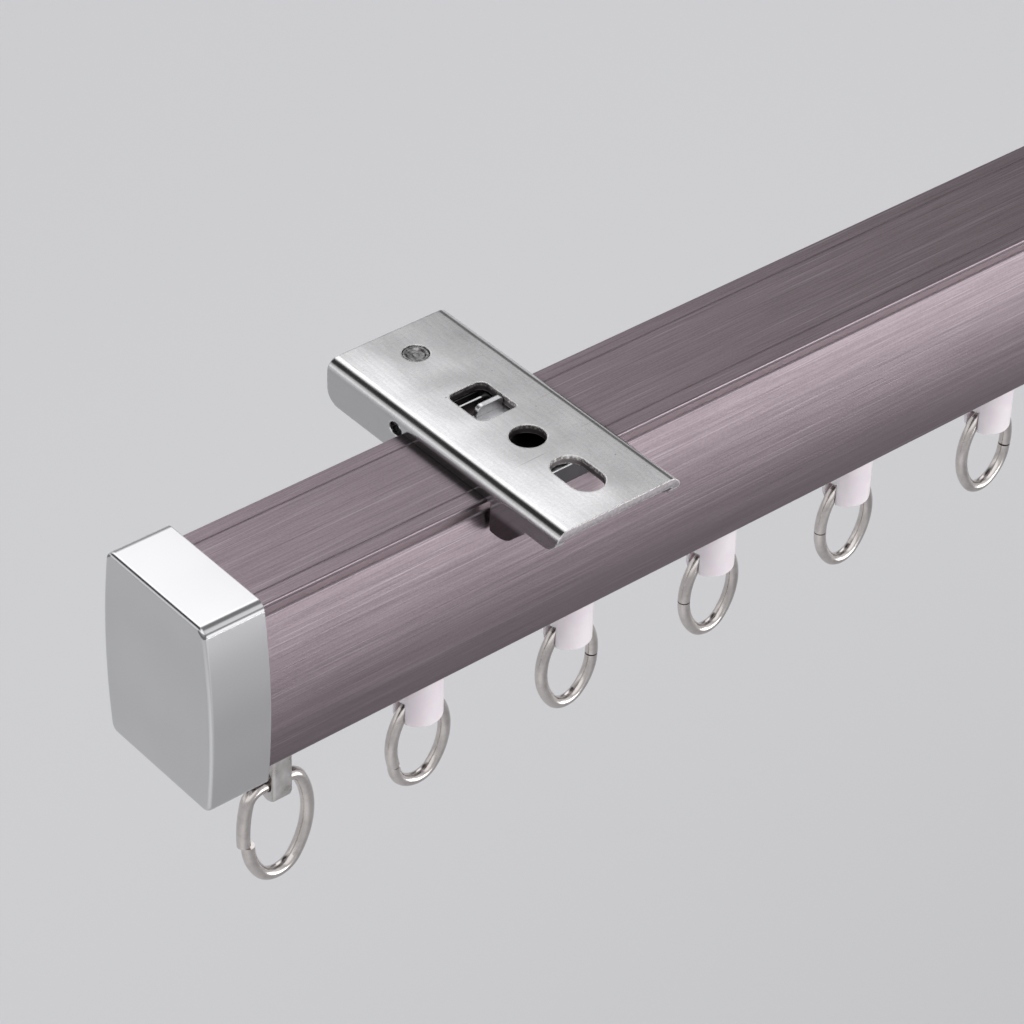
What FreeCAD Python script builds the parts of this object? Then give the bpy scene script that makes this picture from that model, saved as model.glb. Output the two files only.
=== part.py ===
"""Ceiling curtain track: an extruded rail with end caps, clip-on ceiling brackets, runners and wire rings.

Lengths are in millimetres. +X runs along the rail, +Z is up, and +Y is the side away from the latches.
The origin is on the ceiling face of the brackets, midway between their two round screw holes.
Each piece is drawn in the rail's own frame, where Z is 0 on the rail's underside and Y is 0 on its mid-plane,
and is then carried to its place by its Placement.
"""

import FreeCAD, Part
import math
import os

import Sketcher

DIMENSIONS = {
    # whole track
    "track_length": 321,
    "hole_line": 3.9,
    # rail section
    "rail_height": 22.3,
    "lip_half": 7.3,
    "lip_thick": 0.55,
    "lip_round": 0.2,
    "groove_gap": 0.8,
    "groove_root": 6.45,
    "shoulder_round": 0.25,
    "side_half": 8.2,
    "side_bow": 84,
    "foot_round": 0.6,
    "side_wall": 1.15,
    "roof_wall": 1.1,
    "floor_thick": 1.2,
    "mouth_half": 2.2,
    "channel_height": 9.0,
    "web_thick": 1.1,
    "score_half": 5.25,
    "score_wide": 0.24,
    "score_deep": 0.08,
    # end caps
    "cap_plate": 1.95,
    "cap_depth": 7.8,
    "cap_wall": 1.25,
    "cap_above": 1.5,
    "cap_below": 0.9,
    "cap_fit": 0.1,
    "cap_round": 1.2,
    "cap_edge": 0.5,
    "plug_fit": 0.2,
    "plug_reach": 5,
    # end stops and the larger rings on them
    "stop_inset": 15.3,
    "stop_length": 6,
    "stop_half": 6,
    "stop_height": 6,
    "tongue_thick": 2.7,
    "tongue_wide": 3,
    "tongue_drop": 12.7,
    "tongue_round": 0.45,
    "eye_wide": 1.95,
    "eye_tall": 3.2,
    "eye_rim": 1.5,
    "end_wire": 1.6,
    "end_ring_half": 4.35,
    "end_ring_above": 5.9,
    "end_ring_below": 7.5,
    "end_ring_bend": 2.9,
    "end_ring_corner": 2,
    "end_leg_half": 4.5,
    "end_leg_bow": 19,
    "end_split_drop": 1.6,
    "end_split_step": 0.45,
    "end_split_gap": 0.35,
    # runners and their rings
    "runner_count": 10,
    "first_runner": 35.3,
    "runner_pitch": 22,
    "close_runners": 4,
    "runner_spread": 2,
    "head_length": 9,
    "head_half": 5.4,
    "head_thick": 2.3,
    "head_round": 2.2,
    "keel_half": 1.6,
    "keel_rise": 1.8,
    "glide_gap": 0.05,
    "neck_length": 5,
    "neck_gap": 0.4,
    "boss_gap": 0.6,
    "boss_wide": 5.7,
    "boss_drop": 11.05,
    "boss_round": 0.4,
    "bar_round": 1.55,
    "cleft_wide": 1.9,
    "cleft_rise": 4.1,
    "wire": 1.5,
    "ring_half": 3.825,
    "ring_tall": 6,
    "ring_bend": 2.6,
    "ring_seat": 0.05,
    "split_gap": 0.15,
    "split_drop_1": 2.5,
    "split_drop_2": 0.7,
    "split_drop_3": 0.2,
    "split_drop_4": 0.3,
    "split_drop_5": 1.2,
    # bracket covers
    "bracket_inset": 46.75,
    "cover_wide": 17.2,
    "cover_far": 20.4,
    "cover_near": 19.2,
    "cover_gap": 1.3,
    "sheet_thick": 1.1,
    "bend_round": 1.5,
    "seat_gap": 0.05,
    "far_depth": 5.4,
    "far_round": 1.9,
    "side_gap": 0.4,
    "tooth_gap": 0.1,
    "tooth_reach": 6.65,
    "notch_far": 9.25,
    "notch_near": 7.1,
    "notch_side": 0.3,
    "notch_round": 1.2,
    "guard_start": 8.1,
    "guard_side": 0.3,
    "guard_drop": 3.85,
    "guard_low": 9.4,
    "guard_round": 3.4,
    "guard_mid": 12.1,
    "guard_rise": 1.4,
    "guard_end": 14.1,
    "near_drop": 0.55,
    "near_round": 2.4,
    "screw_hole": 4.2,
    "slot_wide": 4.2,
    "slot_long": 7,
    "slot_line": 12.25,
    "window_left": 2.45,
    "window_right": 2.7,
    "window_near": 1,
    "window_far": 7.2,
    "window_round": 1.1,
    "window_tight": 0.4,
    "rivet_line": 15.5,
    "rivet_head": 3.1,
    "rivet_sink": 0.55,
    "rivet_rim": 0.22,
    "rivet_dish": 0.26,
    "rivet_pip": 0.45,
    "rivet_shank": 2,
    "rivet_foot": 2.8,
    "rivet_foot_thick": 0.5,
    "rivet_gap": 0.05,
    # latch plates
    "latch_thick": 0.9,
    "latch_lift": 0.2,
    "latch_side_gap": 0.3,
    "latch_far": 10.6,
    "latch_leg": 9.2,
    "latch_leg_wide": 10,
    "latch_leg_thick": 0.9,
    "latch_tooth": 6.75,
    "tab_line": 3.7,
    "tab_thick": 0.6,
    "tab_start": 1.1,
    "tab_wide": 3.65,
    "tab_rise": 1.25,
    "tab_round": 0.9,
    "tab_edge": 0.3,
    "tab_hole": 3.2,
    "tab_hole_side": 1.2,
    "latch_travel": 2.2,
    "screw_clear": 6,
    "screw_clear_gap": 0.8,
    "ear_wide": 6,
    # latch springs
    "spring_wire": 0.4,
    "spring_mean": 2,
    "spring_turns": 6,
    "spring_gap": 0.1,
}


class Size:
    """A length that carries both its value and the expression that the document keeps for it."""

    def __init__(self, value, text):
        self.value = value
        self.text = text

    def _join(self, sign, other, value):
        return Size(value, f"({self.text} {sign} {as_size(other).text})")

    def __add__(self, other):
        return self._join("+", other, self.value + as_size(other).value)

    def __radd__(self, other):
        return as_size(other) + self

    def __sub__(self, other):
        return self._join("-", other, self.value - as_size(other).value)

    def __rsub__(self, other):
        return as_size(other) - self

    def __mul__(self, other):
        return self._join("*", other, self.value * as_size(other).value)

    def __rmul__(self, other):
        return as_size(other) * self

    def __truediv__(self, other):
        return self._join("/", other, self.value / as_size(other).value)

    def __neg__(self):
        return Size(-self.value, f"(0 - {self.text})")


def as_size(number):
    return number if isinstance(number, Size) else Size(float(number), f"({float(number)!r})")


def root(size):
    return Size(math.sqrt(size.value), f"sqrt({size.text})")


class Dimensions:
    """The driving dimensions, read from the spreadsheet by name."""

    def __init__(self, document):
        sheet = document.addObject("Spreadsheet::Sheet", "Dimensions")
        for row, (name, value) in enumerate(DIMENSIONS.items(), start=1):
            sheet.set(f"A{row}", name)
            sheet.set(f"B{row}", repr(value))
            sheet.setAlias(f"B{row}", name)
        document.recompute()
        self.sheet = sheet

    def __getattr__(self, name):
        return Size(float(self.sheet.get(name)), f"Dimensions.{name}")


doc = FreeCAD.newDocument("curtain_track")
d = Dimensions(doc)

# Heights in the rail's frame that several pieces share.
TOP = d.rail_height
LIP_LOW = TOP - d.lip_thick
LEDGE = LIP_LOW - d.groove_gap
WEB_LOW = d.floor_thick + d.channel_height
WEB_TOP = WEB_LOW + d.web_thick
COVER_LOW = TOP + d.cover_gap
COVER_TOP = COVER_LOW + d.sheet_thick
BAR_LINE = -d.boss_drop
HALF_TRACK = d.track_length / 2
RAIL_HALF = HALF_TRACK - d.cap_plate


def new_body(label):
    body = doc.addObject("PartDesign::Body", label)
    body.Label = label
    return body


def place(item, x=0, y=0, z=0):
    """Carries a piece from the rail's frame, moved by x, y and z, to the track's frame."""
    item.setExpression("Placement.Base.x", as_size(x).text)
    item.setExpression("Placement.Base.y", (as_size(y) + d.hole_line).text)
    item.setExpression("Placement.Base.z", (as_size(z) - COVER_TOP).text)


def turn_about_z(item, degrees):
    item.Placement.Rotation = FreeCAD.Rotation(FreeCAD.Vector(0, 0, 1), degrees)


class Outline:
    """A sketch made of lines and arcs whose corners are held by named dimensions."""

    def __init__(self, body, plane, name, offset=0):
        self.sketch = body.newObject("Sketcher::SketchObject", name)
        origin = [o for o in body.Origin.OriginFeatures if o.Role == plane][0]
        self.sketch.AttachmentSupport = [(origin, "")]
        self.sketch.MapMode = "FlatFace"
        self.sketch.setExpression("AttachmentOffset.Base.z", as_size(offset).text)
        self.count = 0

    def hold(self, kind, *where, size):
        index = self.sketch.addConstraint(Sketcher.Constraint(kind, *where, size.value))
        self.count += 1
        name = f"held_{self.count}"
        self.sketch.renameConstraint(index, name)
        self.sketch.setExpression(f"Constraints.{name}", size.text)

    def hold_point(self, geometry, end, point):
        self.hold("DistanceX", -1, 1, geometry, end, size=as_size(point[0]))
        self.hold("DistanceY", -1, 1, geometry, end, size=as_size(point[1]))

    def add_line(self, start, end):
        a = FreeCAD.Vector(start[0].value, start[1].value, 0)
        b = FreeCAD.Vector(end[0].value, end[1].value, 0)
        return self.sketch.addGeometry(Part.LineSegment(a, b)), 1, 2

    def add_arc(self, start, end, radius, turn):
        """An arc of less than half a circle. turn is +1 anticlockwise from start to end, or -1."""
        ax, ay = start[0].value, start[1].value
        bx, by = end[0].value, end[1].value
        chord = math.hypot(bx - ax, by - ay)
        reach = math.sqrt(max(radius.value**2 - chord**2 / 4, 0))
        cx = (ax + bx) / 2 - turn * reach * (by - ay) / chord
        cy = (ay + by) / 2 + turn * reach * (bx - ax) / chord
        circle = Part.Circle(FreeCAD.Vector(cx, cy, 0), FreeCAD.Vector(0, 0, 1), radius.value)
        first = math.atan2(ay - cy, ax - cx)
        last = math.atan2(by - cy, bx - cx)
        low, high = (first, last) if turn > 0 else (last, first)
        if high < low:
            high += 2 * math.pi
        geometry = self.sketch.addGeometry(Part.ArcOfCircle(circle, low, high))
        self.hold("Radius", geometry, size=radius)
        return (geometry, 1, 2) if turn > 0 else (geometry, 2, 1)

    def draw(self, steps, closed=True):
        """steps are (x, y) for a line and (x, y, radius, turn) for an arc, each from the step before it."""
        corners = [(as_size(s[0]), as_size(s[1])) for s in steps]
        pieces = []
        for i in range(0 if closed else 1, len(steps)):
            start, end, step = corners[i - 1], corners[i], steps[i]
            if len(step) == 2:
                pieces.append(self.add_line(start, end))
            else:
                pieces.append(self.add_arc(start, end, as_size(step[2]), step[3]))
        joints = len(pieces) if closed else len(pieces) - 1
        for i in range(joints):
            geometry, _, last = pieces[i]
            following, first, _ = pieces[(i + 1) % len(pieces)]
            self.sketch.addConstraint(Sketcher.Constraint("Coincident", geometry, last, following, first))
        for i, (geometry, first, last) in enumerate(pieces):
            self.hold_point(geometry, last, corners[i if closed else i + 1])
        if not closed:
            self.hold_point(pieces[0][0], pieces[0][1], corners[0])
        return self

    def circle(self, x, y, diameter):
        x, y, radius = as_size(x), as_size(y), as_size(diameter) / 2
        at = FreeCAD.Vector(x.value, y.value, 0)
        geometry = self.sketch.addGeometry(Part.Circle(at, FreeCAD.Vector(0, 0, 1), radius.value))
        self.hold("Radius", geometry, size=radius)
        self.hold_point(geometry, 3, (x, y))
        return self

    def box(self, low_x, low_y, high_x, high_y):
        return self.draw([(low_x, low_y), (high_x, low_y), (high_x, high_y), (low_x, high_y)])

    def round_box(self, low_x, low_y, high_x, high_y, radius):
        low_x, low_y, high_x, high_y = (as_size(v) for v in (low_x, low_y, high_x, high_y))
        return self.draw(
            [
                (low_x + radius, low_y),
                (high_x - radius, low_y),
                (high_x, low_y + radius, radius, 1),
                (high_x, high_y - radius),
                (high_x - radius, high_y, radius, 1),
                (low_x + radius, high_y),
                (low_x, high_y - radius, radius, 1),
                (low_x, low_y + radius),
                (low_x + radius, low_y, radius, 1),
            ][1:]
        )

    def slot_along_y(self, x, y, wide, long):
        """A slot with round ends."""
        x, y, radius = as_size(x), as_size(y), as_size(wide) / 2
        reach = as_size(long) / 2 - radius
        return self.draw(
            [
                (x + radius, y - reach),
                (x + radius, y + reach),
                (x, y + reach + radius, radius, 1),
                (x - radius, y + reach, radius, 1),
                (x - radius, y - reach),
                (x, y - reach - radius, radius, 1),
                (x + radius, y - reach, radius, 1),
            ][1:]
        )


def pad(body, outline, length, name):
    feature = body.newObject("PartDesign::Pad", name)
    feature.Profile = outline.sketch
    feature.setExpression("Length", as_size(length).text)
    return feature


def pocket(body, outline, name, length=None, reverse=False):
    feature = body.newObject("PartDesign::Pocket", name)
    feature.Profile = outline.sketch
    feature.Reversed = reverse
    if length is None:
        feature.Type = "ThroughAll"
        feature.SideType = "Symmetric"
    else:
        feature.setExpression("Length", as_size(length).text)
    return feature


def round_edges(body, name, radius, chosen):
    """Rounds the edges of the newest feature whose bounding boxes are chosen."""
    doc.recompute()
    base = body.Tip
    edges = [f"Edge{i}" for i, edge in enumerate(base.Shape.Edges, start=1) if chosen(edge.BoundBox)]
    fillet = body.newObject("PartDesign::Fillet", name)
    fillet.Base = (base, edges)
    fillet.setExpression("Radius", radius.text)


def mirrored(half):
    """Steps for a half outline and its mirror image in the sketch's upright axis, anticlockwise."""
    steps = list(half)
    back = []
    for i in range(len(half) - 1, -1, -1):
        x, y = half[i][0], half[i][1]
        after = half[i + 1] if i + 1 < len(half) else ()
        arc = tuple(after[2:]) if len(after) > 2 else ()
        back.append((-as_size(x), y, *arc))
    return steps + back


def side_corner(grow, level, radius, way):
    """The two ends of the arc that joins a level line to the bowed side. way is +1 at the foot, or -1."""
    inset = d.side_bow - d.side_half
    bow = d.side_bow + grow
    rise = level + radius * way - LEDGE / 2
    centre = root((bow - radius) * (bow - radius) - rise * rise)
    share = bow / (bow - radius)
    return (centre - inset, as_size(level)), (centre * share - inset, LEDGE / 2 + rise * share)


# Rail
def make_rail():
    body = new_body("rail")
    foot, foot_end = side_corner(0, 0, d.foot_round, 1)
    shoulder, shoulder_end = side_corner(0, LEDGE, d.shoulder_round, -1)
    half = [
        (d.mouth_half, 0),
        foot,
        (*foot_end, d.foot_round, 1),
        (*shoulder_end, d.side_bow, 1),
        (*shoulder, d.shoulder_round, 1),
        (d.groove_root, LEDGE),
        (d.groove_root, LIP_LOW),
        (d.lip_half, LIP_LOW),
        (d.lip_half, TOP - d.lip_round),
        (d.lip_half - d.lip_round, TOP, d.lip_round, 1),
        (d.score_half + d.score_wide / 2, TOP),
        (d.score_half, TOP - d.score_deep),
        (d.score_half - d.score_wide / 2, TOP),
    ]
    channel_foot = foot_end[0] - d.side_wall
    channel_head = d.side_half - d.side_wall
    channel = [
        (-d.mouth_half, d.floor_thick),
        (-channel_foot, d.floor_thick),
        (-channel_head, WEB_LOW),
        (channel_head, WEB_LOW),
        (channel_foot, d.floor_thick),
        (d.mouth_half, d.floor_thick),
    ]
    section = Outline(body, "YZ_Plane", "rail_section", -RAIL_HALF)
    section.draw(mirrored(half) + channel)
    pocket_half = d.groove_root - d.roof_wall
    chamber = [
        (channel_head, WEB_TOP),
        (shoulder_end[0] - d.side_wall, LEDGE - d.roof_wall),
        (pocket_half, LEDGE - d.roof_wall),
        (pocket_half, TOP - d.roof_wall),
    ]
    section.draw(mirrored(chamber))
    pad(body, section, RAIL_HALF * 2, "extrusion")
    place(body)
    return body


# End caps
def cap_outline(body, name, grow, offset, corner):
    """The rail's outline without its groove, grown by the fit and, outside, by the cap's wall."""
    over = d.cap_above if corner else d.cap_fit
    under = d.cap_below if corner else d.cap_fit
    radius = d.cap_round if corner else d.foot_round
    foot, foot_end = side_corner(grow, -under, radius, 1)
    head, head_end = side_corner(grow, TOP + over, radius, -1)
    half = [
        foot,
        (*foot_end, radius, 1),
        (*head_end, d.side_bow + grow, 1),
        (*head, radius, 1),
    ]
    outline = Outline(body, "YZ_Plane", name, offset)
    return outline.draw(mirrored(half))


def make_cap(label, x, degrees):
    body = new_body(label)
    outer = cap_outline(body, "shell", d.cap_wall + d.cap_fit, 0, True)
    pad(body, outer, d.cap_depth, "shell_pad")
    round_edges(body, "front_edge", d.cap_edge, lambda box: box.XMax < 0.001)
    inner = cap_outline(body, "cavity", d.cap_fit, d.cap_plate, False)
    pocket(body, inner, "cavity_cut", d.cap_depth - d.cap_plate, reverse=True)
    plug_half = d.groove_root - d.roof_wall - d.plug_fit
    plug = Outline(body, "YZ_Plane", "plug", d.cap_plate)
    plug.box(-plug_half, WEB_TOP + d.plug_fit, plug_half, LEDGE - d.roof_wall - d.plug_fit)
    pad(body, plug, d.plug_reach, "plug_pad")
    place(body, x)
    turn_about_z(body, degrees)
    return body


# End stops
def make_stop(label, x):
    body = new_body(label)
    block = Outline(body, "XY_Plane", "block", d.floor_thick + d.glide_gap)
    half = d.stop_half
    block.box(-d.stop_length / 2, -half, d.stop_length / 2, half)
    pad(body, block, d.stop_height, "block_pad")
    round_end = d.tongue_wide / 2
    tongue = Outline(body, "YZ_Plane", "tongue", -d.tongue_thick / 2)
    tongue.draw(
        [
            (round_end, d.floor_thick + d.glide_gap * 2),
            (-round_end, d.floor_thick + d.glide_gap * 2),
            (-round_end, round_end - d.tongue_drop),
            (0, -d.tongue_drop, round_end, 1),
            (round_end, round_end - d.tongue_drop, round_end, 1),
        ]
    )
    pad(body, tongue, d.tongue_thick, "tongue_pad")
    below = -d.tongue_drop.value / 2
    round_edges(body, "tongue_edges", d.tongue_round, lambda box: box.ZMin < below and box.XLength < 0.01)
    eye = Outline(body, "YZ_Plane", "eye")
    eye.slot_along_y(0, d.eye_rim - d.tongue_drop + d.eye_tall / 2, d.eye_wide, d.eye_tall)
    pocket(body, eye, "eye_cut")
    place(body, x)
    return body


# Wire rings
def wide_arc(half, reach, bend):
    """The radius of the side that runs from a ring's widest place into the bend at its end."""
    rest = reach - bend
    return (half * half + rest * rest - bend * bend) / (2 * (half - bend))


def meeting(centre, radius, wide_centre, wide_radius):
    """Where a bend runs smoothly into a wider arc round it."""
    share = radius / (wide_radius - radius)
    x, y = (as_size(c) for c in centre)
    wide_x, wide_y = (as_size(c) for c in wide_centre)
    return x + (x - wide_x) * share, y + (y - wide_y) * share


def bend_wire(body, label, steps, wire):
    """Sweeps a round wire along steps, which start straight down from the ring's split."""
    path = Outline(body, "XZ_Plane", f"{label}_path")
    path.draw(steps, closed=False)
    section = Outline(body, "XY_Plane", f"{label}_section")
    section.circle(steps[0][0], 0, wire)
    doc.recompute()
    pipe = body.newObject("PartDesign::AdditivePipe", f"{label}_wire")
    pipe.Profile = section.sketch
    pipe.Spine = path.sketch


def make_runner_ring(label, x, z, drop, degrees):
    """An oval of round wire about z, with its split in one long side, drop below its middle."""
    body = new_body(label)
    half, tall, bend = d.ring_half, d.ring_tall, d.ring_bend
    flank = wide_arc(half, tall, bend)
    low_half = root(flank * flank - drop * drop) - (flank - half)
    low_flank = wide_arc(low_half, tall - drop, bend)
    top, foot = (0, drop + tall - bend), (0, drop - tall + bend)
    left, right = (flank - half, drop), (half - flank, drop)
    open_x = flank - half - root(flank * flank - (drop - d.split_gap) * (drop - d.split_gap))
    steps = [
        (-low_half, 0),
        (*meeting(foot, bend, (low_flank - low_half, 0), low_flank), low_flank, 1),
        (0, drop - tall, bend, 1),
        (*meeting(foot, bend, right, flank), bend, 1),
        (*meeting(top, bend, right, flank), flank, 1),
        (0, drop + tall, bend, 1),
        (*meeting(top, bend, left, flank), bend, 1),
        (open_x, d.split_gap, flank, 1),
    ]
    bend_wire(body, label, steps, d.wire)
    place(body, x, 0, z - drop)
    turn_about_z(body, degrees)
    return body


def make_end_ring(label, x, top):
    """A larger ring with a level top, whose upper leg ends outside its lower one."""
    body = new_body(label)
    half, bend, corner = d.end_ring_half, d.end_ring_bend, d.end_ring_corner
    drop, gap = d.end_split_drop, d.end_split_gap
    above, below = d.end_ring_above, d.end_ring_below
    flank = wide_arc(half, below, bend)
    low_half = half - d.end_split_step
    low_flank = wide_arc(low_half, below - drop, bend)
    foot = (0, drop - below + bend)
    right, left = (half - flank, drop), (d.end_leg_bow - d.end_leg_half, drop)
    rise = (above - corner) * (above - corner)
    right_x = root((flank - corner) * (flank - corner) - rise) - (flank - half)
    left_x = root((d.end_leg_bow - corner) * (d.end_leg_bow - corner) - rise) - left[0]
    level = drop + above
    right_corner, left_corner = (right_x, level - corner), (-left_x, level - corner)
    open_x = left[0] - root(d.end_leg_bow * d.end_leg_bow - (drop - gap) * (drop - gap))
    steps = [
        (-low_half, 0),
        (*meeting(foot, bend, (low_flank - low_half, 0), low_flank), low_flank, 1),
        (0, drop - below, bend, 1),
        (*meeting(foot, bend, right, flank), bend, 1),
        (*meeting(right_corner, corner, right, flank), flank, 1),
        (right_x, level, corner, 1),
        (-left_x, level),
        (*meeting(left_corner, corner, left, d.end_leg_bow), corner, 1),
        (open_x, gap, d.end_leg_bow, 1),
    ]
    bend_wire(body, label, steps, d.end_wire)
    place(body, x, 0, top - level)
    return body


# Runners
def make_runner(label, x):
    body = new_body(label)
    head_low = d.floor_thick + d.glide_gap
    head = Outline(body, "XY_Plane", f"{label}_head", head_low)
    head.round_box(-d.head_length / 2, -d.head_half, d.head_length / 2, d.head_half, d.head_round)
    pad(body, head, d.head_thick, f"{label}_head_pad")
    keel = Outline(body, "XY_Plane", f"{label}_keel", head_low)
    keel.round_box(-d.head_length / 2, -d.keel_half, d.head_length / 2, d.keel_half, d.keel_half / 2)
    pad(body, keel, d.head_thick + d.keel_rise, f"{label}_keel_pad")
    neck = Outline(body, "XY_Plane", f"{label}_neck", -d.boss_gap)
    neck_half = d.mouth_half - d.neck_gap
    neck.round_box(-d.neck_length / 2, -neck_half, d.neck_length / 2, neck_half, neck_half / 2)
    pad(body, neck, head_low + d.boss_gap * 2, f"{label}_neck_pad")
    boss = Outline(body, "XY_Plane", f"{label}_boss", -d.boss_drop)
    boss.circle(0, 0, d.boss_wide)
    pad(body, boss, d.boss_drop - d.boss_gap, f"{label}_boss_pad")
    low = 0.001 - d.boss_drop.value
    round_edges(body, f"{label}_rim", d.boss_round, lambda box: box.ZMax < low and box.XLength > 1)
    cleft = Outline(body, "XZ_Plane", f"{label}_cleft", d.cleft_wide / 2)
    side = d.boss_wide / 2 + d.boss_gap
    below = BAR_LINE - d.boss_gap
    roof = BAR_LINE + d.cleft_rise
    cleft.draw(
        [
            (-side, roof - d.bar_round),
            (-side, below),
            (-d.bar_round, below),
            (-d.bar_round, BAR_LINE),
            (0, BAR_LINE + d.bar_round, d.bar_round, -1),
            (d.bar_round, BAR_LINE, d.bar_round, -1),
            (d.bar_round, below),
            (side, below),
            (side, roof - d.bar_round),
            (d.bar_round, roof),
            (-d.bar_round, roof),
        ]
    )
    pocket(body, cleft, f"{label}_cleft_cut", d.cleft_wide)
    place(body, x)
    return body


# Bracket covers
def flange_cut(body):
    """What is trimmed away below the cover's flanges, which leaves their hooks, notch and guards."""
    seat = TOP + d.seat_gap
    far_low = COVER_TOP - d.far_depth
    guard_low = TOP - d.guard_drop
    near_low = TOP - d.near_drop
    below = far_low - d.far_depth
    tooth_low = LEDGE + d.tooth_gap
    tooth_top = LIP_LOW - d.tooth_gap
    inner = d.side_half + d.side_gap / 2
    notch_low = seat + d.notch_side
    beyond_far = d.cover_far + d.sheet_thick
    beyond_near = -d.cover_near - d.sheet_thick
    cut = Outline(body, "YZ_Plane", "flange_trim")
    cut.draw(
        [
            (beyond_far, below),
            (beyond_far, far_low + d.far_round),
            (d.cover_far, far_low + d.far_round),
            (d.cover_far - d.far_round, far_low, d.far_round, -1),
            (inner + d.side_gap, far_low),
            (inner, far_low + d.side_gap),
            (inner, tooth_low),
            (d.tooth_reach, tooth_low),
            (d.tooth_reach, tooth_top),
            (d.notch_far - d.side_gap, tooth_top),
            (d.notch_far, tooth_top + d.side_gap),
            (d.notch_far, notch_low),
            (d.notch_near, notch_low, d.notch_round, 1),
            (d.notch_near, seat),
            (-d.guard_start, seat),
            (-d.guard_start, guard_low + d.guard_side),
            (-(d.guard_start + d.guard_side), guard_low, d.guard_side, -1),
            (-d.guard_low, guard_low),
            (-d.guard_mid, guard_low + d.guard_rise, d.guard_round, -1),
            (-d.guard_end, near_low),
            (-(d.cover_near - d.near_round), near_low),
            (-d.cover_near, near_low + d.near_round, d.near_round, -1),
            (beyond_near, near_low + d.near_round),
            (beyond_near, below),
        ]
    )
    pocket(body, cut, "flange_trim_cut")


def make_cover(label, x):
    body = new_body(label)
    out_half = d.cover_wide / 2
    in_half = out_half - d.sheet_thick
    in_round = d.bend_round - d.sheet_thick
    deep = COVER_TOP - d.far_depth * 1.5
    section = Outline(body, "XZ_Plane", "channel", -d.cover_far)
    section.draw(
        mirrored(
            [
                (in_half, COVER_LOW - in_round, in_round, -1),
                (in_half, deep),
                (out_half, deep),
                (out_half, COVER_TOP - d.bend_round),
                (out_half - d.bend_round, COVER_TOP, d.bend_round, 1),
            ]
        )
        + [
            (-(in_half - in_round), COVER_LOW, in_round, -1),
            (in_half - in_round, COVER_LOW),
        ]
    )
    pad(body, section, d.cover_far + d.cover_near, "channel_pad")
    flange_cut(body)
    holes = Outline(body, "XY_Plane", "holes", COVER_TOP + d.sheet_thick)
    holes.circle(0, -d.hole_line, d.screw_hole)
    holes.slot_along_y(0, -d.slot_line, d.slot_wide, d.slot_long)
    left, right, round_ = -d.window_left, d.window_right, d.window_round
    holes.draw(
        [
            (right - d.window_tight, d.window_near),
            (right, d.window_near + d.window_tight, d.window_tight, 1),
            (right, d.window_far - round_),
            (right - round_, d.window_far, round_, 1),
            (left + round_, d.window_far),
            (left, d.window_far - round_, round_, 1),
            (left, d.window_near + round_),
            (left + round_, d.window_near, round_, 1),
        ]
    )
    holes.circle(0, d.rivet_line, d.rivet_shank + d.rivet_gap * 2)
    pocket(body, holes, "holes_cut", d.sheet_thick * 3)
    sink = Outline(body, "XY_Plane", "rivet_seat", COVER_TOP)
    sink.circle(0, d.rivet_line, d.rivet_head + d.rivet_gap * 2)
    pocket(body, sink, "rivet_seat_cut", d.rivet_sink)
    place(body, x)
    return body


# Rivets that anchor the latch springs
def make_rivet(label, x):
    body = new_body(label)
    head_low = COVER_TOP - d.rivet_sink + d.rivet_gap
    head_top = COVER_TOP - d.rivet_gap
    foot_low = LIP_LOW + d.rivet_gap
    foot_top = foot_low + d.rivet_foot_thick
    head, shank, foot = d.rivet_head / 2, d.rivet_shank / 2, d.rivet_foot / 2
    dome = d.rivet_sink / 5
    rim, dish = head - dome - d.rivet_rim, d.rivet_dish
    profile = Outline(body, "XZ_Plane", "rivet_profile")
    profile.draw(
        [
            (0, foot_low),
            (foot - dome, foot_low),
            (foot, foot_low + dome),
            (foot, foot_top),
            (shank, foot_top),
            (shank, head_low),
            (head, head_low),
            (head, head_top - dome),
            (head - dome, head_top),
            (rim, head_top),
            (rim - dish, head_top - dish),
            (d.rivet_pip, head_top - dish),
            (d.rivet_pip - dish / 2, head_top - dish / 2),
            (0, head_top - dish / 2),
        ]
    )
    turn = body.newObject("PartDesign::Revolution", "rivet_turn")
    turn.Profile = profile.sketch
    turn.ReferenceAxis = (profile.sketch, ["V_Axis"])
    turn.Angle = 360
    place(body, x, d.rivet_line)
    return body


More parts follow.
